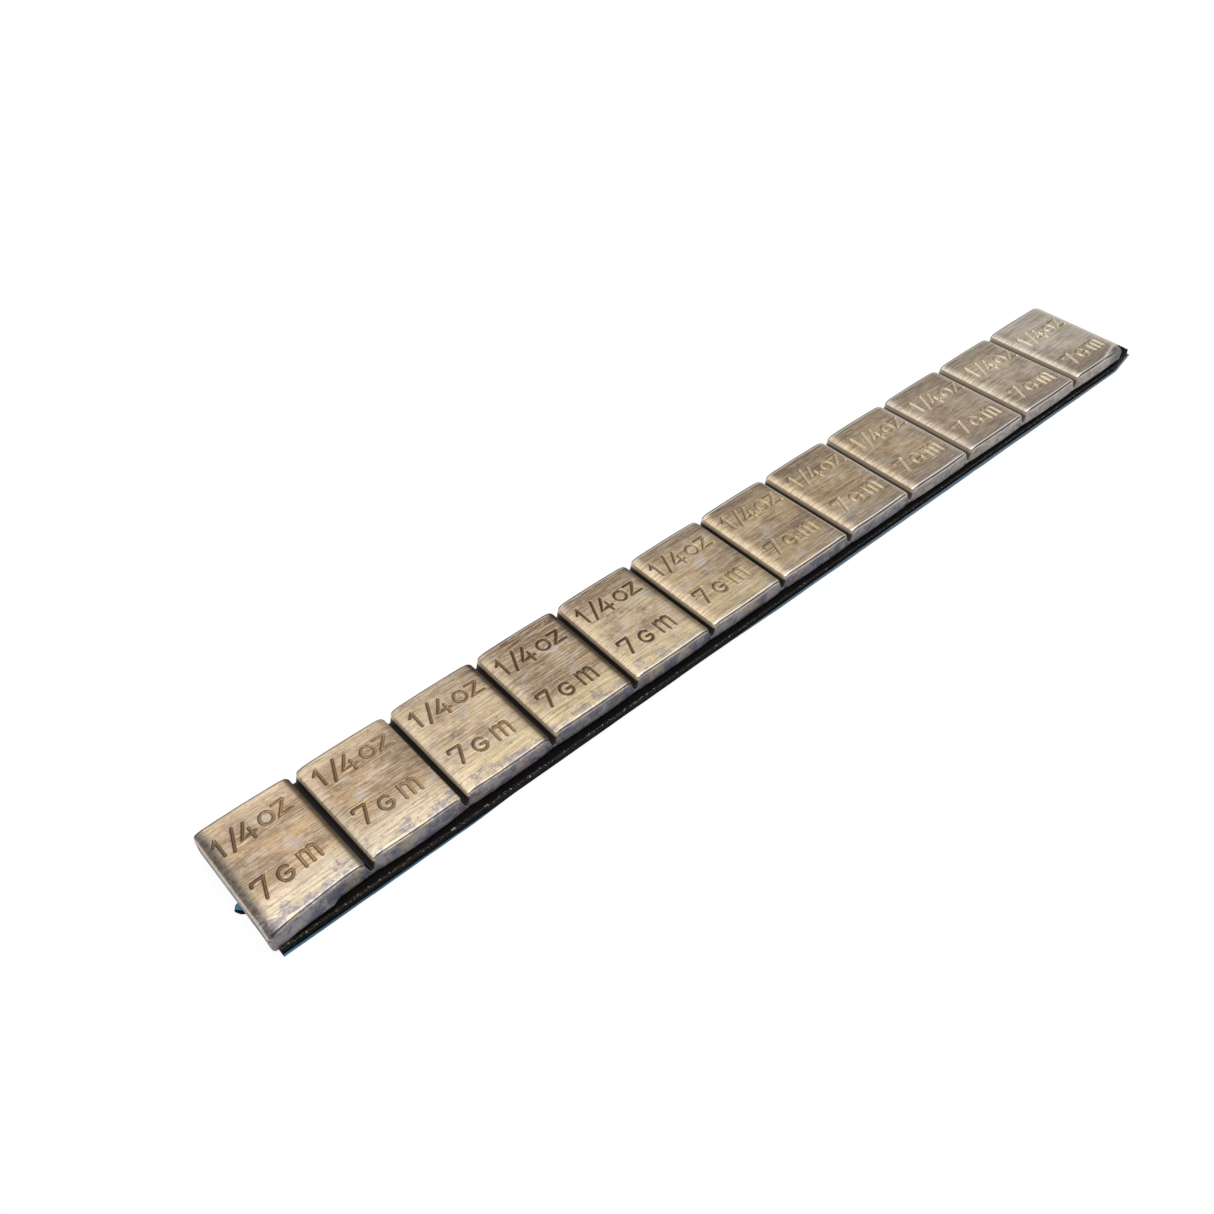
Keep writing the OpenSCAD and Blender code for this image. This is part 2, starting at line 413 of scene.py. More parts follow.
class Segment:
    """One segment's surface, with small irregularities that come from its own seed."""

    def __init__(self, index):
        random = np.random.default_rng(FIRST_SEED + index)
        self.middle = (index + 0.5) * PITCH - HALF_L
        self.free = [side for side, last in ((-1, 0), (1, SEGMENTS - 1)) if index == last]
        self.waves = random.uniform(WAVE_LOW, WAVE_HIGH, (WAVES, len(WAVE_LOW)))
        self.tilt = random.uniform(-1, 1, 2) * TILT
        self.mark_depth = random.uniform(SHALLOWEST, DEEPEST)
        self.tone = TARNISH[index]
        self.dent = FAR_CORNER_DENT if index == SEGMENTS - 1 else 0
        along, across, angle = STRIKES[index]
        c, s = math.cos(math.radians(angle)), math.sin(math.radians(angle))
        skew = 0 if index else FIRST_STRIKE_SKEW
        turn = np.array([[c, s], [skew - s, c]])
        self.lines = [line @ turn + (along, across) for line in stroke_lines()]

    def shrunk(self, u):
        """u as if the strip's free end had a groove too, so that the same outline serves there."""
        return np.where(np.isin(np.sign(u), self.free), u * TOP_A / (PITCH / 2), u)

    def stretched(self, points):
        """The reverse of shrunk, for points in the plane."""
        u, v = np.asarray(points, float).T
        return np.stack([np.where(np.isin(np.sign(u), self.free), u * (PITCH / 2) / TOP_A, u), v], 1)

    def height(self, u, v):
        """Height of the surface over the strip's underside, and how deep it is stamped, 0 to 1."""
        near_u = self.shrunk(u)
        outside = outside_distance(near_u, v)
        inside = np.maximum(-outside, 0)
        inset = boundary_y(near_u) - np.abs(v)
        top = STRIP_T - arc_drop(TOP_A - np.abs(near_u), GROOVE_RIM_W, GROOVE_RIM_R)
        top -= arc_drop(inset, SIDE_RIM_W, SIDE_RIM_R) * np.where(v > 0, BACK_RIM, 1)
        top -= arc_drop(inside, EDGE_R, EDGE_R)
        step = gauss(inset, STEP_PLACE, STEP_WIDTH) * ease(TOP_A - np.abs(near_u), 0, STEP_FADE)
        top -= STEP_DEPTH * step
        burr = gauss(TOP_A - near_u, BURR_PLACE, BURR_WIDTH) * ease(inside, 0, BURR_FADE)
        top += BURR_HEIGHT * burr
        uneven = sum(a * np.sin(kx * u + ky * v + p) for kx, ky, p, a in self.waves)
        uneven = uneven - UNEVEN_DROP + self.tilt[0] * u + self.tilt[1] * v
        top += uneven * ease(inside, 0, UNEVEN_FADE)
        past = np.maximum(past_bend(u + self.middle, v), 0)
        top -= self.dent * past * past / (past + DENT_SOFTNESS)
        gap = distance_to(self.lines, np.stack([u, v], 1))
        pressed = np.clip(1 - (gap / STROKE_HALF) ** STROKE_CURVE, 0, 1)
        lip = (1 - pressed) * (1 - ease(gap, STROKE_HALF, STROKE_LIP))
        top = top - STROKE_DEPTH * self.mark_depth * pressed + LIP_HEIGHT * lip
        top = np.minimum(top, STRIP_T)
        return top + (WEB_T - top) * np.clip(outside / WALL_LEAN, 0, 1), pressed

    def outline(self):
        """The loop round the segment's share of the strip, as long-side and cut-side runs."""
        core = TOP_A - CORNER_R
        notch = np.linspace(core, PITCH / 2 - FLOOR_W / 2, NOTCH_POINTS)
        notch = np.append(notch, PITCH / 2)
        turn = float(top_half_y(core)) - CORNER_R
        ends = {}
        for side in (-1, 1):
            if side in self.free:
                corner = arc(core, turn, CORNER_R, CORNER_R, 90, 0, CORNER_POINTS)
            else:
                corner = list(zip(notch, boundary_y(notch)))
            ends[side] = [(side * x, y) for x, y in corner]
        run = np.linspace(-core, core, SIDE_POINTS)[1:-1]
        half = ends[-1][::-1] + list(zip(run, boundary_y(run))) + ends[1]
        half = self.stretched(half)
        front = [(x, -y) for x, y in half]
        back = [(x, y) for x, y in half[::-1]]
        far, near = (
            [(x, v) for v in np.linspace(-y, y, CUT_POINTS)[1:-1]] for x, y in (half[-1], half[0])
        )
        return front, far, back, near[::-1]

    def inner_points(self):
        """Points inside the loop, closest together where the surface bends most."""
        found = []
        cx = TOP_A - CORNER_R
        cy = float(top_half_y(cx)) - CORNER_R
        ys = np.linspace(-1, 1, CUT_POINTS) * (HALF_W - CORNER_R - ROW_MARGIN)
        xs = np.linspace(-cx, cx, SIDE_POINTS)
        for side in (-1, 1):
            kept = [gap for gap in EDGE_ROWS if gap > 0 or side not in self.free]
            for gap in kept + list(RIM_ROWS):
                found += [(side * (TOP_A - gap), y) for y in ys]
            for gap in SIDE_ROWS:
                found += [(x, way * (y - gap)) for x, y in zip(xs, boundary_y(xs)) for way in (-1, 1)]
            for gap in kept + [CORNER_ROW]:
                for x, y in arc(cx, cy, CORNER_R - gap, CORNER_R - gap, 0, 90, CORNER_ROW_POINTS):
                    found += [(side * x, -y), (side * x, y)]
        columns = np.arange(-TOP_A + GRID_END, TOP_A - GRID_END, GRID_STEP)
        for row, y in enumerate(np.arange(-HALF_W + GRID_FRONT, HALF_W - GRID_BACK, GRID_STEP)):
            found += [(x + GRID_STEP / 2 * (row % 2), y) for x in columns]
        found = self.stretched(thin_out(found, CLOSEST))
        found = found[distance_to(self.lines, found) > STROKE_LIP + STROKE_CLEARANCE]
        found = np.concatenate([found] + [round_strokes(self.lines, row) for row in STROKE_ROWS])
        near_u, v = self.shrunk(found[:, 0]), found[:, 1]
        at_free_end = np.isin(np.sign(near_u), self.free)
        room = np.where(at_free_end, -outside_distance(near_u, v), boundary_y(near_u) - np.abs(v))
        short_of_cut = np.abs(near_u) < PITCH / 2 - LOOP_CLEARANCE
        return found[(room > LOOP_CLEARANCE) & short_of_cut]

    def stroke_walls(self, points):
        """How much painted shade a point gets on a stroke's upper left wall, and painted highlight on
        its lower right one, 0 to 1.
        """
        before, gap, after = (
            distance_to(self.lines, points + way * SLOPE_WAY) for way in (-1, 0, 1)
        )
        rise = (before - after) / SLOPE_REACH
        dark = np.clip(DARK_LEVEL + DARK_GAIN * rise, 0, 1) * gauss(gap, DARK_LINE, DARK_WIDTH)
        bright = np.clip(-rise, 0, 1) * gauss(gap, BRIGHT_LINE, BRIGHT_WIDTH)
        return dark, bright


class Mesh:
    """Collects points with their attribute values, and faces, and shares points that coincide."""

    def __init__(self, *attributes):
        self.attributes = attributes
        self.points, self.faces, self.values, self.seen = [], [], [], {}

    def add(self, point, *values):
        key = tuple(round(c * SHARED) for c in point)
        if key not in self.seen:
            self.seen[key] = len(self.points)
            self.points.append(tuple(float(c) for c in point))
            self.values.append(values)
        return self.seen[key]

    def face(self, *corners):
        kept = [c for i, c in enumerate(corners) if c != corners[i - 1]]
        if len(set(kept)) == len(kept) > 2:
            self.faces.append(kept)

    def walls(self, columns):
        """Quads between neighbouring columns of a closed loop, each listed from the top down."""
        for left, right in zip(columns, columns[1:] + columns[:1]):
            for i in range(len(left) - 1):
                self.face(left[i], left[i + 1], right[i + 1], right[i])

    def cap(self, loop, inner, lift, values, up=True):
        """Triangles over a loop of point numbers and free inner points, which lift raises."""
        coords, triangles, origins = triangulate([self.points[i][:2] for i in loop], inner)
        numbers = []
        for place, origin in zip(coords, origins):
            known = [o for o in origin if o < len(loop)]
            if known:
                numbers.append(loop[known[0]])
            else:
                numbers.append(self.add((place.x, place.y, lift(place)), *values))
        for triangle in triangles:
            corners = [numbers[t] for t in triangle]
            self.face(*(corners if up else corners[::-1]))

    def build(self, name, height, settle=lambda points: points):
        """The mesh object, with its points moved by settle and raised to their height."""
        mesh = bpy.data.meshes.new(name)
        raised = settle(np.array(self.points)) + (0, 0, height)
        mesh.from_pydata((raised * MM).tolist(), [], self.faces)
        for i, attribute in enumerate(self.attributes):
            layer = mesh.attributes.new(attribute, "FLOAT", "POINT")
            layer.data.foreach_set("value", np.array([v[i] for v in self.values], np.float32))
        mesh.polygons.foreach_set("use_smooth", [True] * len(mesh.polygons))
        mesh.update()
        obj = add_object(name, mesh)
        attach(obj, "root")
        return obj


# Rows of the side wall, as distances down from its top where it is highest
WALL_ROWS = (0, 0.06, 0.14, 0.24, 0.36, 0.5, 0.7, 0.95, 1.25, 1.55, 1.85, 2.1, 2.3, 2.5)


def settle_strip(points):
    """Leans the grooves, shifts and roughens the long sides, and splays and sags the first corner."""
    x, y, z = points.T
    grooves = [(i + 1) * PITCH - HALF_L for i in range(len(GROOVE_LEAN))]
    places = [-HALF_L] + grooves + [HALF_L]
    back, front = (np.interp(x, places, (0, *lean, 0)) for lean in zip(*GROOVE_LEAN))
    lean = front + (back - front) * (y / HALF_W + 1) / 2

    outer = np.sign(y) * close(HALF_W - np.abs(y), *SIDE_BAND)
    side = np.sign(y) * SIDES_APART
    wander = 1 + grain(np.stack([x, side], 1), size=8, seed=3)
    rough = 1 + grain(np.stack([x, z * 1.5, side], 1), size=1.1, seed=4)
    inwards = WANDER * wander * (y < 0) + SIDE_ROUGHNESS * rough * ease(STRIP_T - z, *ROUGH_DOWN)
    from_end, from_front = x + HALF_L, y + HALF_W
    splay = SPLAY * close(from_end, *SPLAY_ALONG) * close(from_front, *SPLAY_ACROSS)
    corner = close(from_end, *SAG_ALONG) * close(from_front, *SAG_ACROSS)
    foot = np.interp(x, *zip(*FOOT_SPREAD)) * np.clip(1 - z / FOOT_HEIGHT, 0, 1) ** FOOT_POWER
    y = y - outer * inwards - splay - foot * close(from_front, *FOOT_ACROSS)

    y = np.minimum(y + BACK_SHIFT * close(HALF_W - y, *SHIFT_BAND), HALF_W)
    y = y - FRONT_SHIFT * close(y + HALF_W, *SHIFT_BAND) * ease(x, *FRONT_SHIFT_ALONG)
    beaten = BEATEN * (1 + grain(points, size=1.4, seed=5))
    beaten = beaten * close(from_end, *BEATEN_ALONG) * close(y + HALF_W, *BEATEN_ACROSS)
    up = np.clip(z / STRIP_T, 0, 1)
    sag = corner * (SAG + FOOT_SAG * np.clip(1 - z / STRIP_T, 0, 1)) + beaten * up
    return np.stack([x + lean, y, z - sag], 1)


def build_strip():
    """The lead strip as one closed mesh: a stamped top with grooves, and a wall all round."""
    strip = Mesh("stamp", "upper", "lower", "deep", "side", "inset", "along", "tone")
    front, back, near = [], [], []
    for index in range(SEGMENTS):
        segment = Segment(index)
        runs = segment.outline()
        loop = [p for run in runs for p in run]
        coords, triangles, _ = triangulate(loop, segment.inner_points())
        u, v = np.array([tuple(c) for c in coords]).T
        z, stamp = segment.height(u, v)
        upper, lower = segment.stroke_walls(np.stack([u, v], 1))
        inset = boundary_y(segment.shrunk(u)) - np.abs(v)
        tone = np.full(len(u), segment.tone)
        values = zip(stamp, upper, lower, 1 - z / STRIP_T, 0 * u, inset, u, tone)
        places = zip(u + segment.middle, v, z)
        numbers = [strip.add(place, *row) for place, row in zip(places, values)]
        for triangle in triangles:
            strip.face(*[numbers[t] for t in triangle])
        rings = []
        for run in runs:
            run = np.array(run)
            z, _ = segment.height(run[:, 0], run[:, 1])
            rings.append([(u, v, h, segment) for (u, v), h in zip(run, z)])
        front, far, back, near = front + rings[0], rings[1], rings[2] + back, near or rings[3]

    def column(u, v, top, segment, way):
        """Points down the wall from one point of the outline; way is +-1 on a long side, else 0."""
        numbers = []
        near_u = float(segment.shrunk(u))
        for down in WALL_ROWS:
            z = top * (1 - down / WALL_ROWS[-1])
            shift = side_profile(near_u, z) - side_profile(near_u, top)
            place = (u + segment.middle, v + way * shift, z)
            side = 1.0 if down else 0.0
            values = (0.0, 0.0, 0.0, 1 - z / STRIP_T, side, z - top, u, segment.tone)
            numbers.append(strip.add(place, *values))
        return numbers

    columns = [column(*p, -1) for p in front] + [column(*p, 0) for p in far]
    columns += [column(*p, 1) for p in back] + [column(*p, 0) for p in near]
    columns = [c for i, c in enumerate(columns) if c != columns[i - 1]]
    strip.walls(columns)
    plain = (0.0,) * len(strip.attributes)
    strip.cap([c[-1] for c in columns], [], lambda p: 0.0, plain, up=False)
    return strip.build("lead_strip", STRIP_Z, settle_strip)


lead_strip = build_strip()
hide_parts("weight_strip")

# The tape and its liner: the outlines of the solids, but with a lower wave along the tape
LAP_NEAR = 1.15
LAP_FAR = 0.35
FOAM_WAVE = 0.13
TAIL_CUT_L = 5.7
TAIL_CUT_W = 1.2
FOAM_W = 17.0
FOAM_T = FOAM_HIGH.z - FOAM_LOW.z
LINER_T = LINER_HIGH.z - LINER_LOW.z
LINER_LAP = 0.3
LINER_MARGIN = 0.2

# The tape's mesh: spacing along its front, its ends and its back, and its rows, as distances
# in from the edge on top and as shares of its thickness down the side
FRONT_STEP, END_STEP, BACK_STEP = 0.17, 0.4, 1.0
LEDGE_W = 1.9
LEDGE_ROWS = (LEDGE_W, 1.5, 1.2, 0.95, 0.75, 0.55, 0.4, 0.26, 0.14, 0.05, 0.0)
FACE_ROWS = (0.07, 0.16, 0.28, 0.42, 0.56, 0.7, 0.84, 1.0)

# The hollows torn into the foam: how deep, the weight, size and seed of each layer of them, how
# the layers' sum turns into depth, and where the hollows start and are full: past the lead's
# edges, in from the tape's edge, up from its underside and down from its top
FUZZ_DEPTH = 0.16
BITES = ((0.6, 0.9, 11), (0.7, 0.33, 12), (0.5, 0.17, 13))
BITE_LEAST, BITE_SPAN, BITE_POWER = -1.1, 2.4, 1.3
SHOWN, BITE_IN, BITE_UP, BITE_DOWN = (-0.6, 0.1), (0.2, 0), (0, 0.25), (0.12, 0)

# How far they sink the top: everywhere, at the tape's edge besides, and how far in that reaches
SINK, EDGE_SINK, SINK_REACH = 0.5, 1.2, 0.5

# The liner's front edge: how uneven, how far it is tucked in for a stretch, and where by X
LINER_STEP = 0.5
LINER_UNEVEN = 0.05
LINER_TUCK = 0.22
TUCK_START, TUCK_END = (-56, -48), (0, -16)


def laid(x):
    """Line along which the tape is laid, a little askew to the strip."""
    return -HALF_W - (LAP_NEAR + LAP_FAR) / 2 + (LAP_NEAR - LAP_FAR) * x / (2 * HALF_L)


def foam_edge(x):
    """The tape's front edge, before the tail is cut."""
    return laid(x) + FOAM_WAVE * np.sin(math.pi * x / HALF_L)


def tail_cut(past):
    """Width that the slanting cut has taken off at a distance past its start."""
    return TAIL_CUT_W * np.clip(past / TAIL_CUT_L, 0, 1)


def foam_front(x):
    """The tape's front edge with the slanting cut at its tail."""
    cut = FOAM_HIGH.x - TAIL_CUT_L
    return foam_edge(np.minimum(x, cut)) + tail_cut(x - cut)


def liner_front(x):
    """The liner's front edge with the same cut."""
    cut = LINER_HIGH.x - TAIL_CUT_L
    return laid(np.minimum(x, cut)) - LINER_LAP + tail_cut(x - cut)


def build_foam():
    """The tape: its visible ledge and front face are torn rough, the rest is plain."""
    foam = Mesh("edge")
    x0, x1 = FOAM_LOW.x, FOAM_HIGH.x

    def front_y(x):
        return float(foam_front(x))

    def back_y(x):
        return float(foam_edge(x)) + FOAM_W

    front = [(x, front_y(x)) for x in np.append(np.arange(x0, x1, FRONT_STEP), x1)]
    far = [(x1, y) for y in np.arange(front_y(x1) + END_STEP / 2, back_y(x1), END_STEP)]
    back = [(x, back_y(x)) for x in np.arange(x1, x0, -BACK_STEP)]
    near = [(x0, y) for y in np.arange(back_y(x0), front_y(x0), -END_STEP)]
    columns = []
    for x, y in front + far + back + near:
        low, high = front_y(x), back_y(x)
        column = []
        for inset in LEDGE_ROWS:
            px = min(max(x, x0 + inset), x1 - inset)
            py = min(max(y, low + inset), high - inset)
            column.append(foam.add((px, py, FOAM_T), -inset))
        for down in FACE_ROWS:
            column.append(foam.add((x, y, FOAM_T * (1 - down)), FOAM_T * down))
        columns.append(column)
    foam.walls(columns)
    foam.cap([c[0] for c in columns], [], lambda p: FOAM_T, (-LEDGE_W,))
    foam.cap([c[-1] for c in columns], [], lambda p: 0.0, (FOAM_T,), up=False)
    return foam.build("tape_foam", FOAM_LOW.z, roughen_foam)


def roughen_foam(points):
    """Bites small hollows into the foam that shows past the lead."""
    x, y, z = points.T
    shown = ease(-y - HALF_W, *SHOWN) + ease(x - HALF_L, *SHOWN)
    from_edge = np.abs(y - foam_front(x))
    bite = sum(weight * grain(points, size, seed) for weight, size, seed in BITES)
    bite = np.clip((bite - BITE_LEAST) / BITE_SPAN, 0, 1) ** BITE_POWER
    bite = FUZZ_DEPTH * bite * np.clip(shown, 0, 1)
    inward = bite * close(from_edge, *BITE_IN) * ease(z, *BITE_UP)
    sink = SINK + EDGE_SINK * np.exp(-from_edge / SINK_REACH)
    drop = bite * close(FOAM_T - z, *BITE_DOWN) * sink
    return np.stack([x, y + inward, z - drop], 1)


tape_foam = build_foam()
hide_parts("foam_tape")

# The torn tab of the liner at the near end, and a shred of foam left on it
TAB = [
    (-80.95, -0.45), (-81.7, -0.48), (-81.95, -0.66), (-82.18, -1.0), (-82.3, -1.3), (-82.12, -1.6),
    (-81.95, -1.85), (-81.7, -2.08), (-81.5, -2.3), (-80.95, -2.36),
]
SHRED = [
    (-82.28, -1.18), (-82.2, -1.6), (-81.95, -2.05), (-81.6, -2.38), (-81.3, -2.45),
    (-81.3, -2.0), (-81.5, -1.9), (-81.85, -1.6), (-82.1, -1.28),
]
SHRED_T = 0.2


def slab(mesh, outline, low, high, *values):
    """A flat closed piece over an outline that runs counter-clockwise."""
    rows = (high, (low + high) / 2, low)
    columns = [[mesh.add((x, y, z), *values) for z in rows] for x, y in outline]
    mesh.walls(columns)
    mesh.cap([c[0] for c in columns], [], lambda p: high, values)
    mesh.cap([c[-1] for c in columns], [], lambda p: low, values, up=False)


def build_liner():
    """The liner: a thin film with an uneven front edge, tucked in for a stretch, and a torn tab."""
    liner = Mesh("tab")
    x0, x1 = FOAM_LOW.x, LINER_HIGH.x
    xs = np.append(np.arange(x0, x1, LINER_STEP), x1)
    uneven = LINER_UNEVEN * (grain(np.stack([xs, xs * 0], 1), size=2.2, seed=21) + 1) / 2
    tucked = LINER_TUCK * ease(xs, *TUCK_START) * close(xs, *TUCK_END)
    outline = [(x, float(y)) for x, y in zip(xs, liner_front(xs) + uneven + tucked)]
    back = FOAM_W + LINER_MARGIN
    outline += [(x, float(foam_edge(x)) + back) for x in np.linspace(x1, x0, CUT_POINTS)]
    outline += TAB
    slab(liner, outline, 0.0, LINER_T, 0.0)
    return liner.build("liner_film", 0.0)


liner_film = build_liner()
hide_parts("release_liner")

shred_mesh = Mesh("edge")
slab(shred_mesh, SHRED, LINER_T, LINER_T + SHRED_T, -LEDGE_W)
foam_shred = shred_mesh.build("foam_shred", 0.0)


class Nodes:
    """A node tree; each call adds a node and returns the socket that the next one takes."""

    def __init__(self, tree):
        self.tree = tree

    def add(self, kind, inputs=(), **settings):
        made = self.tree.nodes.new(kind)
        for key, value in settings.items():
            setattr(made, key, value)
        for key, value in dict(inputs).items():
            self.put(made.inputs[key], value)
        return made

    def put(self, socket, value):
        if isinstance(value, bpy.types.NodeSocket):
            self.tree.links.new(value, socket)
        elif isinstance(value, tuple) and socket.type == "RGBA":
            socket.default_value = (*value, 1)
        else:
            socket.default_value = value

    def attribute(self, name):
        return self.add("ShaderNodeAttribute", attribute_name=name).outputs["Fac"]

    def noise(self, vector, scale=1.0, detail=3.0, roughness=0.5, distortion=0.0):
        return self.add("ShaderNodeTexNoise", {
            "Vector": vector, "Scale": scale, "Detail": detail,
            "Roughness": roughness, "Distortion": distortion,
        }).outputs["Fac"]

    def ramp(self, value, low, high, start=0.0, end=1.0):
        """Smooth step of value from low to high, going from start to end."""
        return self.add("ShaderNodeMapRange", {
            "Value": value, "From Min": low, "From Max": high, "To Min": start, "To Max": end,
        }, interpolation_type="SMOOTHSTEP").outputs["Result"]

    def band(self, value, low, high):
        """1 in the middle of a band of values, smoothly down to 0 at its two ends."""
        middle = (low + high) / 2
        return self.times(self.ramp(value, low, middle), self.ramp(value, high, middle))

    def math(self, operation, *values):
        return self.add("ShaderNodeMath", dict(enumerate(values)), operation=operation).outputs[0]

    def times(self, *values):
        result = values[0]
        for value in values[1:]:
            result = self.math("MULTIPLY", result, value)
        return result

    def vector(self, operation, a, b):
        return self.add("ShaderNodeVectorMath", {0: a, 1: b}, operation=operation).outputs[0]

    def mix(self, factor, a, b):
        """Colour a where factor is 0 and b where it is 1."""
        return self.add("ShaderNodeMix", {0: factor, 6: a, 7: b}, data_type="RGBA").outputs[2]

    def bump(self, height, strength, distance, normal=None):
        inputs = {"Height": height, "Strength": strength, "Distance": distance * MM}
        if normal:
            inputs["Normal"] = normal
        return self.add("ShaderNodeBump", inputs).outputs["Normal"]


class Shader(Nodes):
    """A material whose colour is laid on in layers; its places are in millimetres."""

    def __init__(self, name):
        self.material = bpy.data.materials.new(name)
        self.material.use_nodes = True
        super().__init__(self.material.node_tree)
        self.principled = self.tree.nodes["Principled BSDF"]
        place = self.add("ShaderNodeTexCoord").outputs["Object"]
        self.place = self.vector("MULTIPLY", place, (1 / MM,) * 3)
        self.x, self.y, _ = self.add("ShaderNodeSeparateXYZ", {0: self.place}).outputs

    def lay(self, shade, *factors):
        """Lays a colour over the last one, as strongly as the product of the factors."""
        self.color = self.mix(self.times(*factors), self.color, shade)

    def finish(self, **inputs):
        """Sets the shader's inputs, the colour among them, and returns the material."""
        for key, value in {"base_color": self.color, **inputs}.items():
            self.put(self.principled.inputs[key.replace("_", " ").title()], value)
        return self.material


# The lead's colours. Its ground along the strip, and how far each segment has turned brown
GROUND_NEAR, GROUND_MIDDLE, GROUND_FAR = (0.67, 0.43, 0.225), (0.55, 0.375, 0.18), (0.6, 0.51, 0.44)
BROWNED, UNTURNED = (0.31, 0.195, 0.11), (0.95, 0.79, 0.56)

# Clouds, patches and fine mottling that lie on the ground, and the brushing
CLOUD_DARK, CLOUD_PALE = (0.26, 0.175, 0.12), (0.82, 0.62, 0.38)
PATCH_DARK, PATCH_PALE = (0.27, 0.19, 0.2), (0.8, 0.74, 0.74)
MOTTLE_DARK, MOTTLE_PALE = (0.2, 0.145, 0.15), (0.95, 0.8, 0.6)
BAND_DARK, LINE_DARK, HAIR_PALE = (0.2, 0.125, 0.075), (0.17, 0.105, 0.06), (1, 0.85, 0.6)
SPECKLE = (0.1, 0.075, 0.06)

# The tops towards their front and back sides, with a painted reflection towards the front on the near
# segments, and the last segment's back half
FRONT_REFLECTION_NEAR, FRONT_REFLECTION_MIDDLE, FRONT_FAR = (1, 0.84, 0.62), (1, 0.8, 0.47), (0.34, 0.265, 0.205)
BACK_PALE, BACK_BROWN = (0.9, 0.7, 0.5), (0.21, 0.14, 0.1)
BACK_DARK, BACK_FAR = (0.19, 0.105, 0.065), (0.28, 0.22, 0.18)
LAST_PALE = (0.98, 0.9, 0.84)

# Painted highlights on the rolled rims on both sides of a groove, by place along the strip, and
# painted shade on the far rims and at the outer edge of the near rims
NEAR_RIM, NEAR_RIM_MIDDLE, NEAR_RIM_FAR = (1, 0.86, 0.68), (0.88, 0.69, 0.47), (0.8, 0.7, 0.58)
FAR_RIM_HIGHLIGHT = (0.95, 0.84, 0.72)
RIM_SHADE, RIM_HIGHLIGHT, RIM_FOOT_SHADE = (0.05, 0.032, 0.022), (1, 0.88, 0.72), (0.34, 0.27, 0.21)

# The stamped marks: their hollows, painted light in them far off, the painted highlight on their
# walls, their dark floors and the painted shade on their walls
STROKE_PALE, STROKE_BROWN = (0.68, 0.44, 0.21), (0.32, 0.2, 0.11)
STROKE_DARK, STROKE_FAR_LIT = (0.16, 0.085, 0.035), (0.78, 0.6, 0.37)
HIGHLIGHT_NEAR, HIGHLIGHT_MIDDLE, HIGHLIGHT_FAR = (0.95, 0.66, 0.34), (1, 0.79, 0.48), (1, 0.88, 0.7)
SEAM_DARK, SHADE_DARK = (0.055, 0.027, 0.014), (0.05, 0.026, 0.016)

# Along the long edges: slate-grey dirt, a painted highlight on the edge, painted shade in the step,
# and painted shade and a painted highlight at the near end
EDGE_DIRT, EDGE_HIGHLIGHT, STEP_SHADE = (0.26, 0.25, 0.34), (0.98, 0.95, 0.92), (0.035, 0.028, 0.026)
END_SHADE, END_HIGHLIGHT = (0.1, 0.085, 0.08), (0.92, 0.87, 0.82)

# Painted light and shade in the grooves: their two walls, near and far along the strip, and painted
# shade deep down towards their floors
NEAR_WALL, NEAR_WALL_FAR = (1, 0.76, 0.48), (0.58, 0.47, 0.36)
FAR_WALL, FAR_WALL_FAR = (0.02, 0.014, 0.012), (0.85, 0.72, 0.58)
GROOVE_SHADE = (0.01, 0.009, 0.014)

# The strip's side walls with a painted highlight along their top, and the painted shade and highlight
# on the last segment's bent corner
SIDE_SLATE, SIDE_GREY, SIDE_BROWN = (0.12, 0.12, 0.17), (0.36, 0.33, 0.345), (0.48, 0.37, 0.27)
SIDE_FAR, SIDE_STAIN = (0.72, 0.64, 0.58), (0.34, 0.26, 0.2)
SIDE_DARK, SIDE_HIGHLIGHT = (0.1, 0.09, 0.11), (0.9, 0.87, 0.84)
BENT_SHADE, BEND_HIGHLIGHT = (0.13, 0.12, 0.125), (0.98, 0.95, 0.93)


def lead_patterns(m):
    """What the lead's colours hang on besides the place: the mesh's attributes and noises."""
    names = ("stamp", "upper", "lower", "deep", "side", "inset", "along", "tone")
    at = SimpleNamespace(**{name: m.attribute(name) for name in names})
    apart = m.times(at.tone, 40)
    shifted = m.add("ShaderNodeCombineXYZ", {0: apart, 1: apart, 2: apart}).outputs[0]
    here = m.vector("ADD", m.place, shifted)

    def scaled(*scales):
        return m.vector("MULTIPLY", here, scales)

    at.cloud = m.noise(scaled(0.17, 0.22, 0.2), detail=3, roughness=0.6)
    at.patch = m.noise(scaled(0.34, 0.4, 0.3), detail=6, roughness=0.7, distortion=0.4)
    at.stain = m.noise(scaled(0.42, 0.55, 0.5), detail=5, roughness=0.62, distortion=0.8)
    at.mottle = m.noise(scaled(1.6, 2, 1.6), detail=5, roughness=0.72)
    at.speckle = m.noise(m.place, scale=4.2, detail=3, roughness=0.6)
    at.bands = m.noise(scaled(0.14, 2.6, 0.3), detail=2, roughness=0.6)
    at.lines = m.noise(scaled(0.2, 6.5, 0.3), detail=3, roughness=0.7)
    at.hairs = m.noise(scaled(0.3, 11, 0.3), detail=2, roughness=0.6)
    return at


